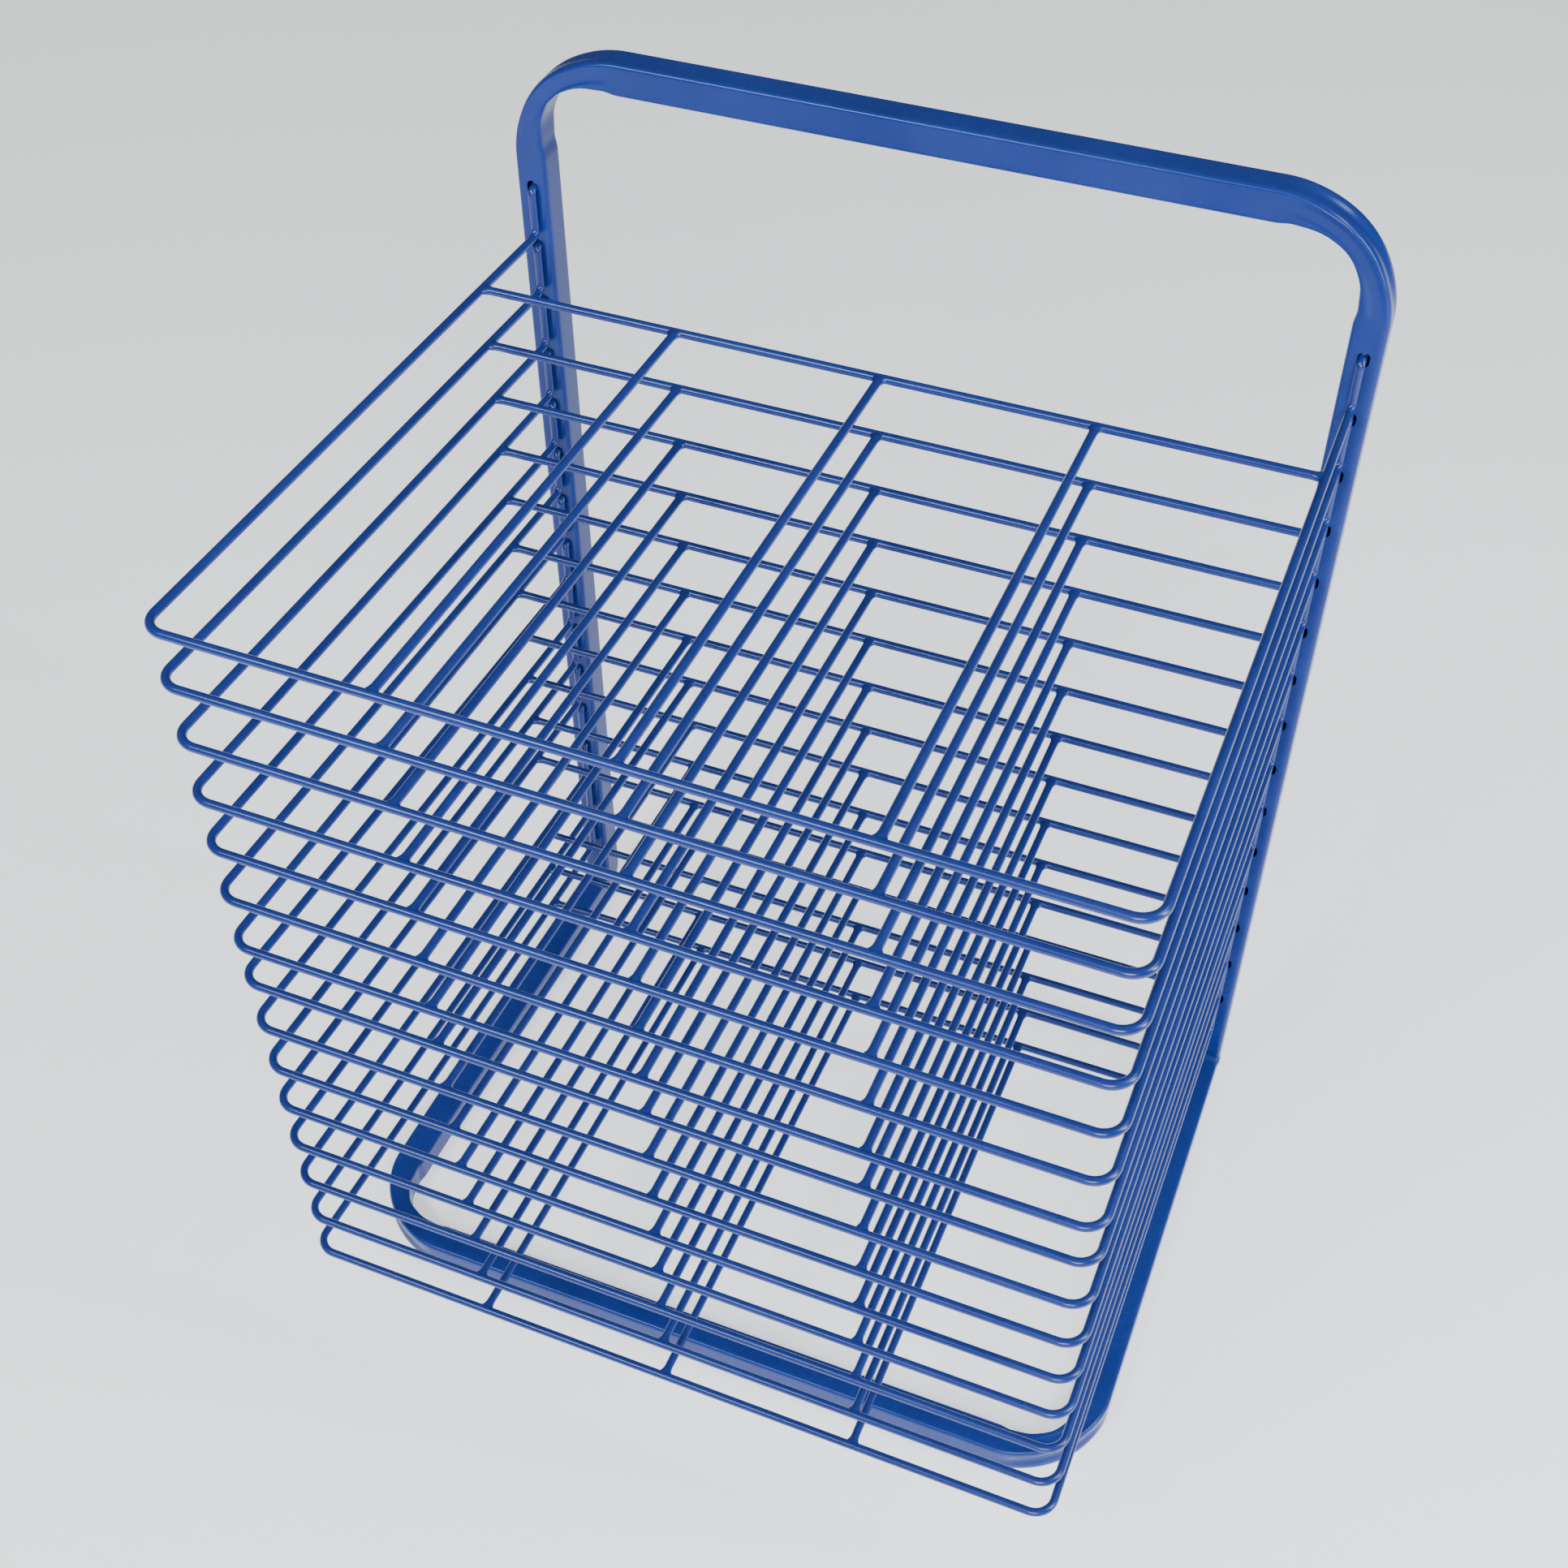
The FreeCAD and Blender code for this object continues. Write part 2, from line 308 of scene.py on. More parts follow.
def powder_coat(name, thick, thin, gloss, specular, peel_depth, dust_amount):
    """A powder coat: two shades of one colour, orange peel, and dust on what faces up."""
    material = bpy.data.materials.new(name)
    material.use_nodes = True
    tree = material.node_tree
    coat = tree.nodes["Principled BSDF"]
    shading = add_node(tree, "ShaderNodeGroup", {"node_tree": shade}, Thick_Coat=thick, Thin_Coat=thin)
    dusting = add_node(tree, "ShaderNodeGroup", {"node_tree": dust}, Amount=dust_amount)
    skin = add_node(tree, "ShaderNodeGroup", {"node_tree": peel})
    dusted = add_node(tree, "ShaderNodeMix", {"data_type": "RGBA"}, B=DUST_COLOUR)
    sheen = add_node(tree, "ShaderNodeMapRange", To_Min=gloss + GLOSSIER, To_Max=gloss + DULLER)
    dull = add_node(tree, "ShaderNodeMath", {"operation": "ADD"})
    bump = add_node(tree, "ShaderNodeBump", Strength=peel_depth, Distance=PEEL_HEIGHT)
    tree.links.new(shading.outputs["Colour"], dusted.inputs["A"])
    tree.links.new(dusting.outputs["Mask"], dusted.inputs["Factor"])
    tree.links.new(dusted.outputs["Result"], coat.inputs["Base Color"])
    tree.links.new(shading.outputs["Mask"], sheen.inputs["Value"])
    tree.links.new(sheen.outputs["Result"], dull.inputs[0])
    tree.links.new(dusting.outputs["Mask"], dull.inputs[1])
    tree.links.new(dull.outputs["Value"], coat.inputs["Roughness"])
    tree.links.new(skin.outputs["Height"], bump.inputs["Height"])
    tree.links.new(bump.outputs["Normal"], coat.inputs["Normal"])
    coat.inputs["Specular IOR Level"].default_value = specular
    print("finish", name)
    return material


tube_coat = powder_coat(
    "blue_tube_coat", thick=(0.0055, 0.023, 0.17, 1), thin=(0.0085, 0.029, 0.205, 1),
    gloss=0.24, specular=0.28, peel_depth=0.05, dust_amount=0.03,
)
# Painted shade: these wire colours are a little darker than the tube colours and stand in for shade on the
# thin wires.
wire_coat_with_painted_shade = powder_coat(
    "blue_wire_coat", thick=(0.005, 0.018, 0.145, 1), thin=(0.008, 0.025, 0.18, 1),
    gloss=0.25, specular=0.45, peel_depth=0.04, dust_amount=0.03,
)

# %% [markdown]
# ## Zinc on the sleeves
# The sleeves inside the tube joints are not coated. They have a dull zinc surface, and brush marks run
# along them. A noise that is stretched along the height of the rack makes the marks.

# %% Sleeve material
zinc = bpy.data.materials.new("dull_zinc")
zinc.use_nodes = True
tree = zinc.node_tree
metal = tree.nodes["Principled BSDF"]
metal.inputs["Metallic"].default_value = 1.0
place = add_node(tree, "ShaderNodeTexCoord")
along = add_node(tree, "ShaderNodeMapping", Scale=(900.0, 900.0, 30.0))
marks = add_node(tree, "ShaderNodeTexNoise", Scale=1.0, Detail=3.0)
dark_grey, light_grey = (0.46, 0.47, 0.49, 1), (0.6, 0.61, 0.63, 1)
greys = add_node(tree, "ShaderNodeMix", {"data_type": "RGBA"}, A=dark_grey, B=light_grey)
rough = add_node(tree, "ShaderNodeMapRange", To_Min=0.35, To_Max=0.5)
tree.links.new(place.outputs["Object"], along.inputs["Vector"])
tree.links.new(along.outputs["Vector"], marks.inputs["Vector"])
tree.links.new(marks.outputs["Fac"], greys.inputs["Factor"])
tree.links.new(greys.outputs["Result"], metal.inputs["Base Color"])
tree.links.new(marks.outputs["Fac"], rough.inputs["Value"])
tree.links.new(rough.outputs["Result"], metal.inputs["Roughness"])
print("finish", zinc.name)

# %% [markdown]
# ## Pulling a profile along a path
# A bent tube could be a curve with a profile. A curve can't show how a press crushes the bend, though,
# and its corners can't be cut. So each tube and wire starts as one closed ring of edges. The ring is
# pulled straight, or spun round a bend, and every step leaves a row of faces behind. The rows stay
# regular, and each one can be shaped later.

# %% A run of tube or wire
class Run:
    """A ring of edges that grows into a tube, one length after another."""

    def __init__(self, shape, ring_edges, start, direction):
        self.shape = shape
        self.edges = list(ring_edges)
        self.end = Vector(start)
        self.direction = Vector(direction).normalized()
        turn = Vector((0, 0, 1)).rotation_difference(self.direction).to_matrix().to_4x4()
        bmesh.ops.transform(shape, matrix=Matrix.Translation(self.end) @ turn, verts=self.ring())

    def ring(self):
        return list({vert for edge in self.edges for vert in edge.verts})

    def straight(self, length, rows=1):
        for _ in range(rows):
            pulled = bmesh.ops.extrude_edge_only(self.shape, edges=self.edges)["geom"]
            fresh = {item for item in pulled if isinstance(item, bmesh.types.BMVert)}
            self.edges = [e for e in pulled if isinstance(e, bmesh.types.BMEdge) and set(e.verts) <= fresh]
            bmesh.ops.translate(self.shape, vec=self.direction * (length / rows), verts=list(fresh))
        self.end = self.end + self.direction * length

    def bend(self, axis, degrees, radius, steps):
        """Spins the ring round an axis to the side of it, and returns the points that this makes."""
        axis = Vector(axis).normalized()
        centre = self.end + axis.cross(self.direction) * radius
        before = set(self.shape.verts)
        start_arm = self.end - centre
        spun = bmesh.ops.spin(
            self.shape, geom=self.ring() + self.edges, cent=centre, axis=axis, dvec=(0, 0, 0),
            angle=math.radians(degrees), steps=steps, use_merge=False, use_duplicate=False,
        )["geom_last"]
        self.edges = [item for item in spun if isinstance(item, bmesh.types.BMEdge)]
        turn = Matrix.Rotation(math.radians(degrees), 3, axis)
        self.end = centre + turn @ start_arm
        self.direction = turn @ self.direction
        made = [vert for vert in self.shape.verts if vert not in before]
        return {"points": made, "centre": centre, "axis": axis, "arm": start_arm, "degrees": degrees}


# %% [markdown]
# ## The square tube's profile
# Rolled square tube has round corners. The ring starts as one point: it is pulled along a flat side and
# spun round a corner, four times. The flat sides carry extra points, because slots and dents need them.

# %% Profile ring
FLAT_STOPS = (-5.2, -3.9, -2.6, -1.3, 0.0, 1.3, 2.6, 3.9, 5.2, 7.5)
SLOT_CELL = 5.2
CORNER_POINTS = 4
SAME_POINT = 0.001


def square_ring(shape):
    """The edges of a rounded square about the origin, ready to be pulled."""
    half = TUBE / 2
    inner = half - TUBE_CORNER
    tip = shape.verts.new((half, -inner, 0))
    for quarter in range(4):
        turn = Matrix.Rotation(quarter * math.pi / 2, 3, "Z")
        for stop in FLAT_STOPS:
            tip = bmesh.ops.extrude_vert_indiv(shape, verts=[tip])["verts"][0]
            tip.co = turn @ Vector((half, stop, 0))
        corner = bmesh.ops.spin(
            shape, geom=[tip], cent=turn @ Vector((inner, inner, 0)), axis=(0, 0, 1), dvec=(0, 0, 0),
            angle=math.pi / 2, steps=CORNER_POINTS, use_merge=False, use_duplicate=False,
        )["geom_last"]
        tip = next(item for item in corner if isinstance(item, bmesh.types.BMVert))
    bmesh.ops.remove_doubles(shape, verts=list(shape.verts), dist=SAME_POINT)
    return list(shape.edges)


trial = bmesh.new()
print("points round the tube", len(square_ring(trial)))
print("profile spans", [round(max(vert.co[axis] for vert in trial.verts), 3) for axis in range(2)])
trial.free()

# %% [markdown]
# ## What the press does to a bend
# Square tube that is bent in a press doesn't keep its section. The outer wall is stretched and falls into
# a long groove, the inner wall is pushed in and ripples, and the side walls swell a little next to it.
# All of this fades out where the bend ends, more suddenly on the inside. It is done to the points of the
# bend, which know their place round the turn and across the section. Flatten is below zero where the wall
# bulges out instead. Pinch moves the inner wall towards the middle of the tube: first what it does all
# along, then what is added halfway. Lip is the wide radius that the outer corners are pressed to.

# %% Crushed bends
def ease(value):
    value = min(max(value, 0.0), 1.0)
    return value * value * (3 - 2 * value)


GROOVE_HALF_WIDTH = 8.6
RIPPLES = 9
SWELL_PLACE = -5.0
SWELL_WIDTH = 3.5
SOFT_END = 0.3


def crush(turn, radius, groove, flatten, pinch, ripple, swell, hard_end=0.12, lip=TUBE_CORNER):
    """Dents the points of a bend on its outside, on its inside and at its sides."""
    half = TUBE / 2
    inner = half - TUBE_CORNER
    axis, arm = turn["axis"], turn["arm"]
    for vert in turn["points"]:
        offset = vert.co - turn["centre"]
        across = offset.dot(axis)
        radial = offset - axis * across
        share = math.degrees(arm.angle(radial)) / turn["degrees"]
        out = radial.length - radius
        outer = min(max((out - inner) / TUBE_CORNER, 0.0), 1.0)
        inside = min(max((-out - inner) / TUBE_CORNER, 0.0), 1.0)
        side = min(max((abs(across) - inner) / TUBE_CORNER, 0.0), 1.0)
        outer_fade = ease(share / SOFT_END) * ease((1 - share) / SOFT_END)
        inner_fade = ease(share / hard_end) * ease((1 - share) / hard_end)
        dip = groove * math.cos(math.pi * min(abs(across) / GROOVE_HALF_WIDTH, 1.0) / 2) ** 2
        wave = ripple * math.sin(share * math.pi * RIPPLES) * math.cos(math.pi * across / (2 * TUBE))
        middle = math.sin(math.pi * min(max(share, 0.0), 1.0)) ** 2
        press = pinch[0] * inner_fade + pinch[1] * middle
        shift = -outer_fade * outer * dip - middle * flatten * max(out, 0.0) / half
        shift += max(-out, 0.0) / half * press + inner_fade * inside * wave
        vert.co += radial.normalized() * shift
        near_inside = math.exp(-(((out - SWELL_PLACE) / SWELL_WIDTH) ** 2))
        vert.co += axis * math.copysign(swell * inner_fade * side * near_inside, across)
        corner_out, corner_side = out - (half - lip), abs(across) - (half - lip)
        if min(corner_out, corner_side) > 0.0:
            pull = outer_fade * min(lip / math.hypot(corner_out, corner_side) - 1.0, 0.0)
            vert.co += radial.normalized() * corner_out * pull
            vert.co += axis * math.copysign(corner_side * pull, across)


# %% [markdown]
# ## Punched slots
# The shelves hook into slots that are punched into the front wall. A slot could be cut with a boolean,
# but that leaves long thin faces, and they shade badly next to a rounded edge. Here a small patch of the
# front wall is taken out and the gap is bridged to a stretched circle, so the wall keeps clean faces all
# round the hole.

# %% Slots
CELL_HALF_HEIGHT = 7.5
CELL_ROWS = 6
END_ROW = 0.8
CLOSE = 0.01


def leg_stops(bottom, top, numbers):
    """Heights at which a leg gets a row of points: close to each end, seven at each slot, and its top."""
    stops = [bottom + END_ROW]
    for number in sorted(numbers, reverse=True):
        for row in range(CELL_ROWS + 1):
            stops.append(slot_level(number) + (row * 2 / CELL_ROWS - 1) * CELL_HALF_HEIGHT)
    stops += [top - END_ROW, top]
    return [stop for stop in stops if bottom < stop <= top]


def punch_slot(shape, leg_x, level):
    """Opens a slot in the front wall of a leg."""
    cell = [
        face for face in shape.faces
        if abs(face.calc_center_median().y - FACE_Y) < CLOSE
        and abs(face.calc_center_median().x - leg_x) < SLOT_CELL
        and abs(face.calc_center_median().z - level) < CELL_HALF_HEIGHT
    ]
    cell_edges = {edge for face in cell for edge in face.edges}
    border = [edge for edge in cell_edges if sum(face in cell for face in edge.link_faces) == 1]
    bmesh.ops.delete(shape, geom=cell, context="FACES")
    border = [edge for edge in border if edge.is_valid]
    upright = Matrix.Translation((leg_x, FACE_Y, level)) @ Matrix.Rotation(math.pi / 2, 4, "X")
    rim = bmesh.ops.create_circle(
        shape, cap_ends=False, radius=SLOT_WIDTH / 2, segments=len(border), matrix=upright,
    )["verts"]
    stretch = (SLOT_HEIGHT - SLOT_WIDTH) / 2
    for vert in rim:
        if abs(vert.co.z - level) > CLOSE:
            vert.co.z += math.copysign(stretch, vert.co.z - level)
    rim_edges = list({edge for vert in rim for edge in vert.link_edges})
    bmesh.ops.bridge_loops(shape, edges=border + rim_edges)


# %% [markdown]
# ## From a shape to a piece
# A finished shape becomes an object at the origin, rides on a body of the frame and takes the place of
# its CAD pieces. The tubes are still skins without thickness, so Solidify gives them their real wall,
# which also gives every slot its depth. A small Bevel rounds the cut edges as the coat does, and Weighted
# Normal keeps the flat walls flat in the light.

# %% Pieces
def make_piece(name, shape, finish, body, replaced):
    bmesh.ops.scale(shape, vec=(MM, MM, MM), verts=list(shape.verts))
    mesh = bpy.data.meshes.new(name)
    shape.to_mesh(mesh)
    shape.free()
    mesh.shade_smooth()
    mesh.materials.append(finish)
    piece = bpy.data.objects.new(name, mesh)
    bpy.context.scene.collection.objects.link(piece)
    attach(piece, body)
    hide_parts(*replaced)
    return piece


CUT_EDGE = 0.25
CUT_EDGE_ANGLE = math.radians(55)
FLAT_WEIGHT = 60


def make_tube_piece(name, shape, replaced):
    bmesh.ops.recalc_face_normals(shape, faces=list(shape.faces))
    piece = make_piece(name, shape, tube_coat, "frame", replaced)
    wall = piece.modifiers.new("tube_wall", "SOLIDIFY")
    wall.thickness = TUBE_WALL * MM
    wall.offset = -1.0
    wall.use_even_offset = True
    edge = piece.modifiers.new("soft_cut_edges", "BEVEL")
    edge.width = CUT_EDGE * MM
    edge.segments = 2
    edge.limit_method = "ANGLE"
    edge.angle_limit = CUT_EDGE_ANGLE
    normals = piece.modifiers.new("flat_walls", "WEIGHTED_NORMAL")
    normals.weight = FLAT_WEIGHT
    print(name, "faces", len(piece.data.polygons), "mm", [round(value / MM, 1) for value in piece.dimensions])


# %% [markdown]
# ## The top hoop
# One tube makes both upper legs and the bar above them. It is pulled up, bent, pulled across, bent again
# and pulled down. Its two bends show how the press worked: each has a groove outside and a pinched wall
# inside.

# %% Top hoop
HOOP_BEND = 60.0
BEND_STEPS = 30
TUBE_ROWS = 8

shape = bmesh.new()
hoop = Run(shape, square_ring(shape), (-LEG_X, TUBE_Y, UPPER_JOINT), (0, 0, 1))
hoop_numbers = range(1, SHELVES_ON_HOOP + 1)
leg_top = HOOP_TOP - TUBE / 2 - HOOP_BEND
stops = leg_stops(UPPER_JOINT, leg_top, hoop_numbers)
for stop in stops:
    hoop.straight(stop - hoop.end.z)
left_bend = hoop.bend((0, 1, 0), 90, HOOP_BEND, BEND_STEPS)
hoop.straight(END_ROW)
hoop.straight(2 * (LEG_X - HOOP_BEND) - 2 * END_ROW, rows=TUBE_ROWS)
hoop.straight(END_ROW)
right_bend = hoop.bend((0, 1, 0), 90, HOOP_BEND, BEND_STEPS)
for stop in stops[-2::-1] + [UPPER_JOINT]:
    hoop.straight(hoop.end.z - stop)
crush(left_bend, HOOP_BEND, groove=1.5, flatten=-1.2, pinch=(1.4, 7.4), ripple=0.35, swell=0.7, lip=6.0)
crush(right_bend, HOOP_BEND, groove=2.8, flatten=-0.6, pinch=(1.2, 5.6), ripple=0.25, swell=0.6, lip=6.5)
for number in hoop_numbers:
    for side in (-1, 1):
        punch_slot(shape, side * LEG_X, slot_level(number))
make_tube_piece("top_hoop_tube", shape, ["top_hoop"])

# %% [markdown]
# ## The two uprights
# Below the hoop stand two plain lengths of the same tube, with the rest of the slots. They only meet the
# hoop and the base end to end, and their rounded cut edges leave the fine line that shows at each joint.

# %% Uprights
upright_numbers = range(SHELVES_ON_HOOP + 1, SHELVES + 1)
for side_name, side in (("left", -1), ("right", 1)):
    shape = bmesh.new()
    upright = Run(shape, square_ring(shape), (side * LEG_X, TUBE_Y, LOWER_JOINT), (0, 0, 1))
    for stop in leg_stops(LOWER_JOINT, UPPER_JOINT, upright_numbers):
        upright.straight(stop - upright.end.z)
    for number in upright_numbers:
        punch_slot(shape, side * LEG_X, slot_level(number))
    make_tube_piece(side_name + "_upright_tube", shape, [side_name + "_upright"])

# %% [markdown]
# ## The base
# The base is one more tube: down from the left upright, forward along the table, across the front and
# back again. The two tight bends at the rear are almost folded, so their inside stays a sharp crease and
# their sides bulge. Nothing may reach below the table, so their bulge is cut flat there. The left leg
# also stands a few millimetres further out at the front than the right one, and gets there gradually.

# %% Base hoop
BASE_BEND = 52.0
STUB_BEND = 13.0
STUB_STEPS = 14
STUB_ROWS = 4
LEFT_SPLAY = 6.5
SPLAY_SPEED = 1.1

shape = bmesh.new()
base = Run(shape, square_ring(shape), (-LEG_X, TUBE_Y, LOWER_JOINT), (0, 0, -1))
stub = LOWER_JOINT - TUBE / 2 - STUB_BEND
side_length = FACE_Y + TUBE / 2 - STUB_BEND - (BASE_FRONT + TUBE / 2 + BASE_BEND)
base.straight(END_ROW)
base.straight(stub - END_ROW, rows=STUB_ROWS)
rear_left = base.bend((-1, 0, 0), 90, STUB_BEND, STUB_STEPS)
base.straight(side_length, rows=TUBE_ROWS)
front_left = base.bend((0, 0, 1), 90, BASE_BEND, BEND_STEPS)
base.straight(2 * (LEG_X - BASE_BEND), rows=TUBE_ROWS)
front_right = base.bend((0, 0, 1), 90, BASE_BEND, BEND_STEPS)
base.straight(side_length, rows=TUBE_ROWS)
rear_right = base.bend((1, 0, 0), 90, STUB_BEND, STUB_STEPS)
base.straight(stub - END_ROW, rows=STUB_ROWS)
base.straight(END_ROW)
for bend in (rear_left, rear_right):
    crush(bend, STUB_BEND, groove=0.8, flatten=0.8, pinch=(-1.4, 0.0), ripple=0.0, swell=1.1, hard_end=0.4)
crush(front_left, BASE_BEND, groove=2.2, flatten=0.8, pinch=(1.2, 4.0), ripple=0.3, swell=0.6, lip=5.0)
crush(front_right, BASE_BEND, groove=2.4, flatten=1.0, pinch=(1.2, 4.0), ripple=0.3, swell=0.6, lip=5.0)
for vert in shape.verts:
    vert.co.z = max(vert.co.z, 0.0)
    ahead = (TUBE_Y - vert.co.y) / (TUBE_Y - BASE_FRONT)
    vert.co.x -= LEFT_SPLAY * ease(SPLAY_SPEED * ahead) * max(-vert.co.x, 0.0) / LEG_X
make_tube_piece("base_hoop_tube", shape, ["base_hoop"])

# %% [markdown]
# ## The rim of a shelf
# Each shelf hangs on one long wire. Seen from the tail inside the slot it turns down the upright, forward
# into the side rail, round the front, and back the same way on the other side. It is drawn once, with the
# hinge line at the origin. The tail's end is cut, so its ring closes in a slightly rounded face. The coat
# makes the wire a little thicker than the bare steel.

# %% Wire rim
HOOK_X = LEG_X - 0.7
HOOK_BEND = 3.5
HOOK_TAIL = 8.0
LEG_LENGTH = 30.8
LEG_BEND = 6.0
SHELF_REACH = 424.0
SHELF_RISE = 3.0
CORNER_BEND = 13.0
BACK_RAIL_REACH = 74.0
LEG_OFFSET = HOOK_BEND - TUBE_WALL / 2
PIVOT_Y = FACE_Y + TUBE_WALL / 2
WIRE_POINTS = 16
COAT = 0.1
COATED_WIRE = WIRE + 2 * COAT
END_ROUNDING = 0.4
END_SHRINK = 0.86
HOOK_STEPS = 8
LEG_STEPS = 10
CORNER_STEPS = 12
RAIL_ROWS = 10
FRONT_ROWS = 12

rise = math.radians(SHELF_RISE)
forward = Vector((0, -math.cos(rise), math.sin(rise)))
above = Vector((0, math.sin(rise), math.cos(rise)))


def shelf_point(x, reach):
    """A point in the plane of the shelf, seen from the hinge line."""
    return Vector((x, -HOOK_BEND, -LEG_LENGTH)) + forward * (reach - LEG_OFFSET)


def wire_ring(shape, radius):
    bmesh.ops.create_circle(shape, cap_ends=False, radius=radius, segments=WIRE_POINTS)
    return [edge for edge in shape.edges if not edge.link_faces]


def close_end(run):
    """Rounds off a cut end of wire and closes it."""
    run.straight(END_ROUNDING)
    shrink = (END_SHRINK, END_SHRINK, END_SHRINK)
    bmesh.ops.scale(run.shape, vec=shrink, verts=run.ring(), space=Matrix.Translation(-run.end))
    bmesh.ops.holes_fill(run.shape, edges=run.edges, sides=0)


rim_shape = bmesh.new()
rim_start = Vector((-HOOK_X, HOOK_BEND, HOOK_BEND + HOOK_TAIL))
rim = Run(rim_shape, wire_ring(rim_shape, COATED_WIRE / 2 * END_SHRINK), rim_start, (0, 0, -1))
bmesh.ops.holes_fill(rim_shape, edges=rim.edges, sides=0)
rim.straight(END_ROUNDING)
widen = (1 / END_SHRINK, 1 / END_SHRINK, 1 / END_SHRINK)
bmesh.ops.scale(rim_shape, vec=widen, verts=rim.ring(), space=Matrix.Translation(-rim.end))
lean = 90 + SHELF_RISE
leg_trim = LEG_BEND * math.tan(math.radians(lean / 2))
leg_run = LEG_LENGTH - HOOK_BEND - leg_trim
side_run = SHELF_REACH - LEG_OFFSET - leg_trim - CORNER_BEND
rim.straight(HOOK_TAIL - END_ROUNDING)
rim.bend((-1, 0, 0), 90, HOOK_BEND, HOOK_STEPS)
rim.bend((1, 0, 0), 90, HOOK_BEND, HOOK_STEPS)
rim.straight(leg_run, rows=2)
rim.bend((-1, 0, 0), lean, LEG_BEND, LEG_STEPS)
rim.straight(side_run, rows=RAIL_ROWS)
rim.bend(above, 90, CORNER_BEND, CORNER_STEPS)
rim.straight(2 * (HOOK_X - CORNER_BEND), rows=FRONT_ROWS)
rim.bend(above, 90, CORNER_BEND, CORNER_STEPS)
rim.straight(side_run, rows=RAIL_ROWS)
rim.bend((1, 0, 0), lean, LEG_BEND, LEG_STEPS)
rim.straight(leg_run, rows=2)
rim.bend((-1, 0, 0), 90, HOOK_BEND, HOOK_STEPS)
rim.bend((1, 0, 0), 90, HOOK_BEND, HOOK_STEPS)
rim.straight(HOOK_TAIL - END_ROUNDING)
close_end(rim)
print("rim ends at", [round(value, 3) for value in rim.end], "faces", len(rim_shape.faces))

# %% [markdown]
# ## Welded wires
# The back rail butts against the side rails, and three wires run from it to the front rail. Resistance
# welding squeezes each end into its neighbour, so the end spreads sideways into a small flared foot. A
# plain rod pushed into the rail would look glued on. Here the ring is pulled along the wire and widened
# near its ends, a little differently at each weld. Each station of a foot says how far it is from the
# rail's centre line, how much wider than the wire it is, and how much flatter.

# %% Flared wires
CROSS_WIRES = 3
WIRE_PARTS = 8
FOOT_STATIONS = (
    (0.0, 2.15, 0.80), (1.9, 1.85, 0.90), (2.9, 1.50, 0.97),
    (4.0, 1.22, 1.0), (5.6, 1.06, 1.0), (7.5, 1.0, 1.0),
)
FOOT_SIZES = (0.85, 1.2)
FOOT_LEAN = 0.35
weld_hand = random.Random(11)


def flared_wire(shape, start, end, up):
    """A wire between two rails, with a foot at each end that spreads along the rail."""
    direction = (end - start).normalized()
    across = up.cross(direction)
    basis = Matrix((across, up, direction)).transposed()
    length = (end - start).length
    feet = [(weld_hand.uniform(*FOOT_SIZES), weld_hand.uniform(-FOOT_LEAN, FOOT_LEAN)) for _ in range(2)]
    (first_size, first_lean), (last_size, last_lean) = feet
    stations = [(reach, 1 + (wide - 1) * first_size, flat, first_lean) for reach, wide, flat in FOOT_STATIONS]
    stations += [(length * part / WIRE_PARTS, 1.0, 1.0, 0.0) for part in range(1, WIRE_PARTS)]
    for reach, wide, flat in reversed(FOOT_STATIONS):
        stations.append((length - reach, 1 + (wide - 1) * last_size, flat, last_lean))
    edges = Run(shape, wire_ring(shape, COATED_WIRE / 2), start, direction).edges
    old_centre, old_wide, old_flat = start, 1.0, 1.0
    for index, (reach, wide, flat, lean_over) in enumerate(stations):
        if index:
            pulled = bmesh.ops.extrude_edge_only(shape, edges=edges)["geom"]
            fresh = {item for item in pulled if isinstance(item, bmesh.types.BMVert)}
            edges = [e for e in pulled if isinstance(e, bmesh.types.BMEdge) and set(e.verts) <= fresh]
        verts = list({vert for edge in edges for vert in edge.verts})
        centre = start + direction * reach + across * lean_over * (wide - 1)
        ratio = Matrix.Diagonal((wide / old_wide, flat / old_flat, 1.0))
        stretch = (basis @ ratio @ basis.transposed()).to_4x4()
        move = Matrix.Translation(centre) @ stretch @ Matrix.Translation(-old_centre)
        bmesh.ops.transform(shape, matrix=move, verts=verts)
        if index in (0, len(stations) - 1):
            bmesh.ops.holes_fill(shape, edges=edges, sides=0)
        old_centre, old_wide, old_flat = centre, wide, flat


def straighten_normals(shape):
    bmesh.ops.recalc_face_normals(shape, faces=list(shape.faces))


def draw_back_rail():
    shape = bmesh.new()
    flared_wire(shape, shelf_point(-HOOK_X, BACK_RAIL_REACH), shelf_point(HOOK_X, BACK_RAIL_REACH), above)
    straighten_normals(shape)
    return shape


def draw_cross_wires():
    shape = bmesh.new()
    bay = 2 * HOOK_X / (CROSS_WIRES + 1)
    for index in range(CROSS_WIRES):
        x = -HOOK_X + bay * (index + 1)
        flared_wire(shape, shelf_point(x, BACK_RAIL_REACH), shelf_point(x, SHELF_REACH), above)
    straighten_normals(shape)
    return shape


straighten_normals(rim_shape)

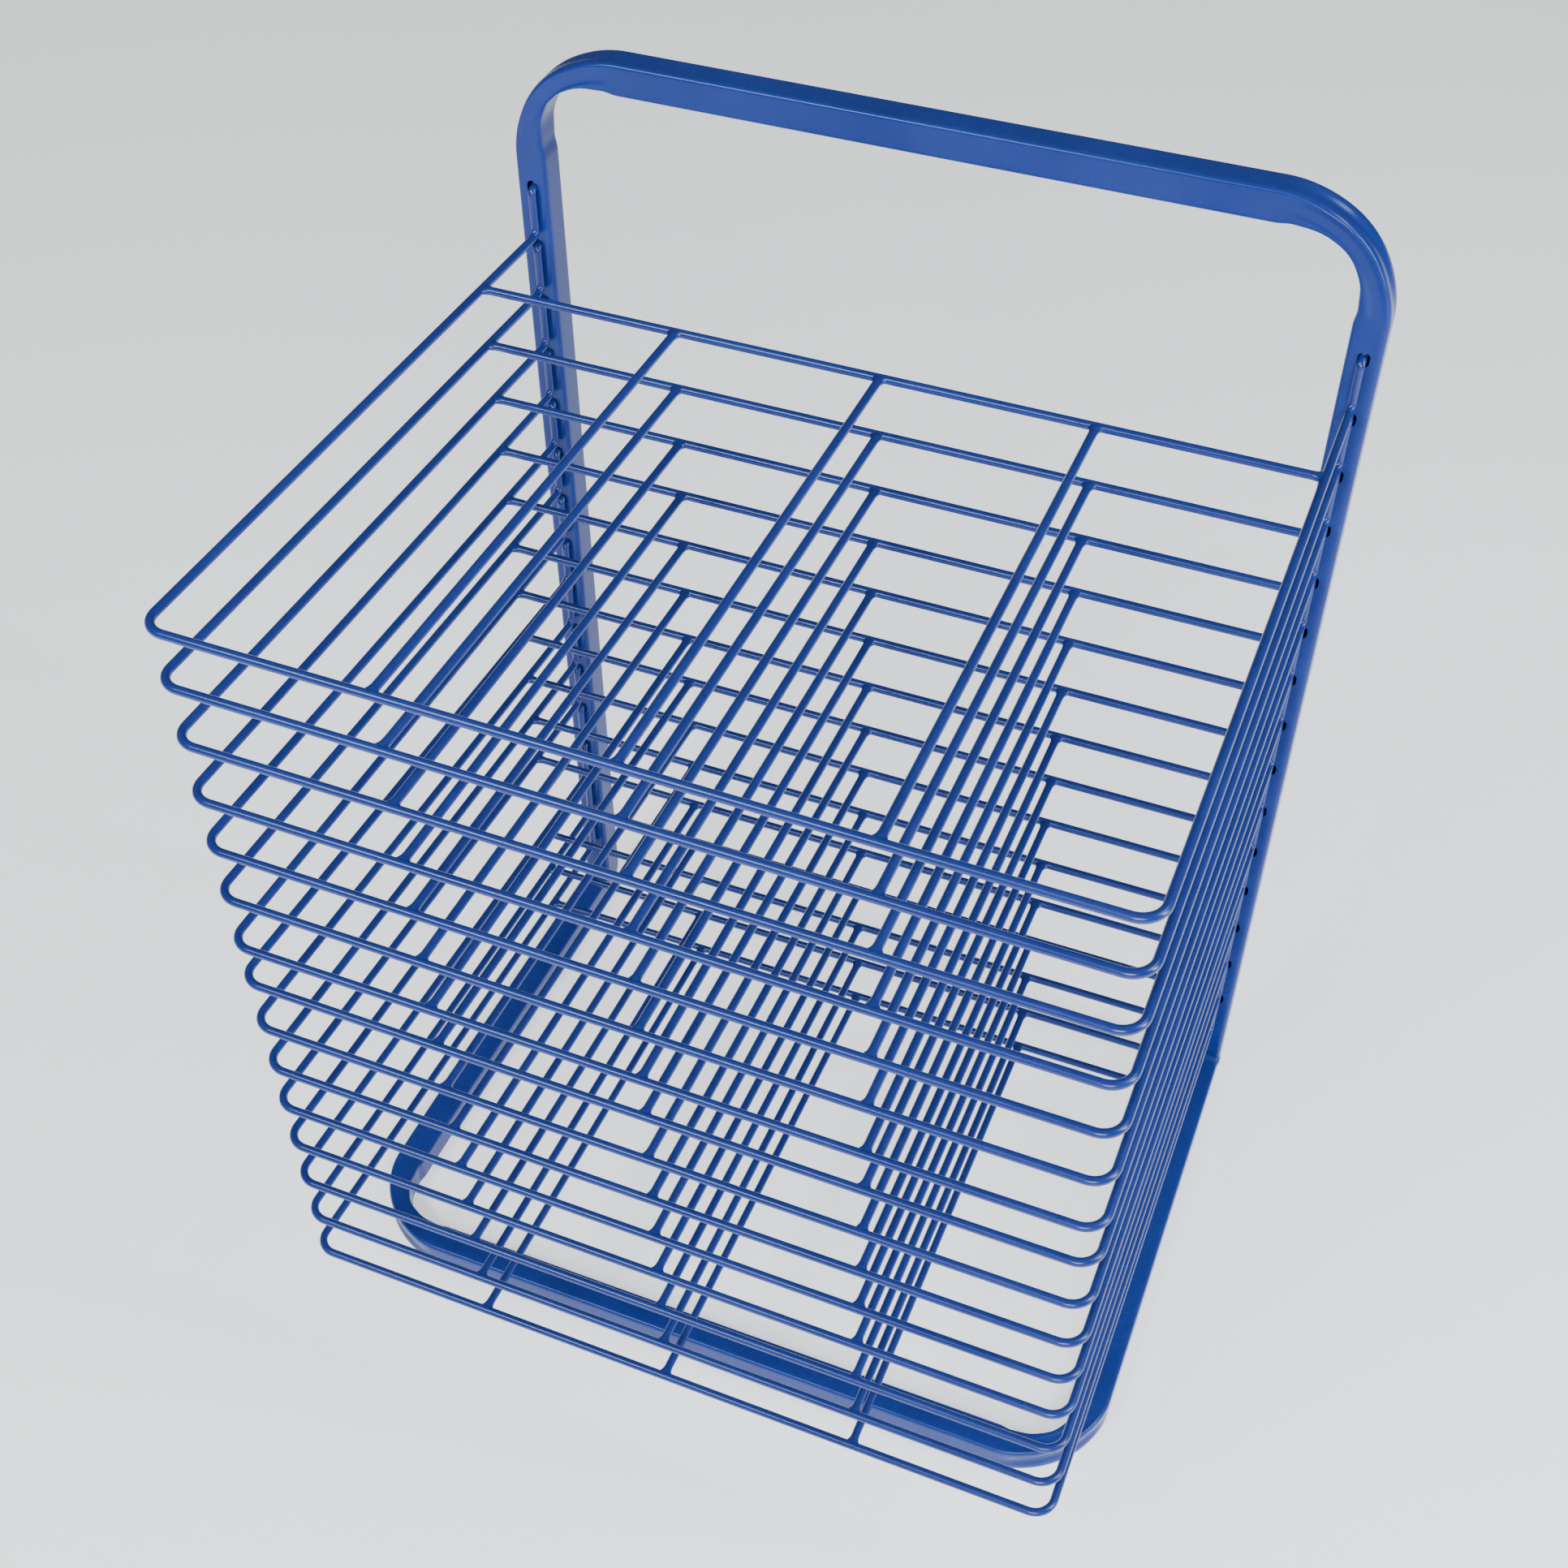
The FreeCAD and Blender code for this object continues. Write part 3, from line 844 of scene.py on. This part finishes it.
# %% [markdown]
# ## Fifteen shelves
# Every shelf has the same slight twist: its left front corner stands higher than its right one. The seven
# shelves on the hoop rise half a degree less than the drawn one, and the eight on the uprights half a
# degree more. Fifteen shelves are never quite alike, and loose hooks let each one settle a little
# differently. So every shelf is a fresh copy that is turned about its hinge line by a small fraction of a
# degree, moved sideways by a fraction of a millimetre, and given new welds. The top shelf hangs a little
# lower still. The differences are kept small enough for the shelves to clear each other when they all
# stand up.

# %% Shelves
HOOP_SHELF_TURN = -0.5
UPRIGHT_SHELF_TURN = 0.5
TURN_SPREAD = 0.12
SIDE_SPREAD = 0.3
TOP_SHELF_SAG = -0.4
SHELF_TWIST = 1.8
shelf_hand = random.Random(5)

for number in range(1, SHELVES + 1):
    body = "shelf_%02d" % number
    hung = HOOP_SHELF_TURN if number <= SHELVES_ON_HOOP else UPRIGHT_SHELF_TURN
    hung += TOP_SHELF_SAG if number == 1 else 0.0
    turn = math.radians(hung + shelf_hand.uniform(-TURN_SPREAD, TURN_SPREAD))
    aside = shelf_hand.uniform(-SIDE_SPREAD, SIDE_SPREAD)
    settle = Matrix.Translation((aside, PIVOT_Y, slot_level(number))) @ Matrix.Rotation(-turn, 4, "X")
    drawn = {"rim": rim_shape.copy(), "back_rail": draw_back_rail(), "cross_wires": draw_cross_wires()}
    for part_name, shape in drawn.items():
        for vert in shape.verts:
            vert.co.z -= SHELF_TWIST * vert.co.x / HOOK_X * max(-vert.co.y, 0.0) / SHELF_REACH
        bmesh.ops.transform(shape, matrix=settle, verts=list(shape.verts))
        make_piece("%s_wire_%s" % (body, part_name), shape, wire_coat_with_painted_shade, body, [body + "_" + part_name])
rim_shape.free()
print("shelves", SHELVES)

# %% [markdown]
# ## Finishes on the frame's own pieces
# The CAD pieces keep their shapes and only take a finish. The sleeves stay as they are, inside the
# joints, and the hidden pieces carry the coat of what stands for them.

# %% Finishes on CAD pieces
for name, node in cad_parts.items():
    node.data.materials.clear()
    if name.endswith("sleeve"):
        node.data.materials.append(zinc)
    elif name.startswith("shelf"):
        node.data.materials.append(wire_coat_with_painted_shade)
    else:
        node.data.materials.append(tube_coat)
print("finished", len(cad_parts), "CAD pieces")

# %% [markdown]
# ## Bounds at the end
# The dressed rack should stay close to the box of the CAD model, and the script prints both boxes.

# %% Finish
visual_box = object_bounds()
for label, box in (("CAD box", cad_box), ("visual box", visual_box)):
    print(label, [[round(value, 4) for value in corner] for corner in box])
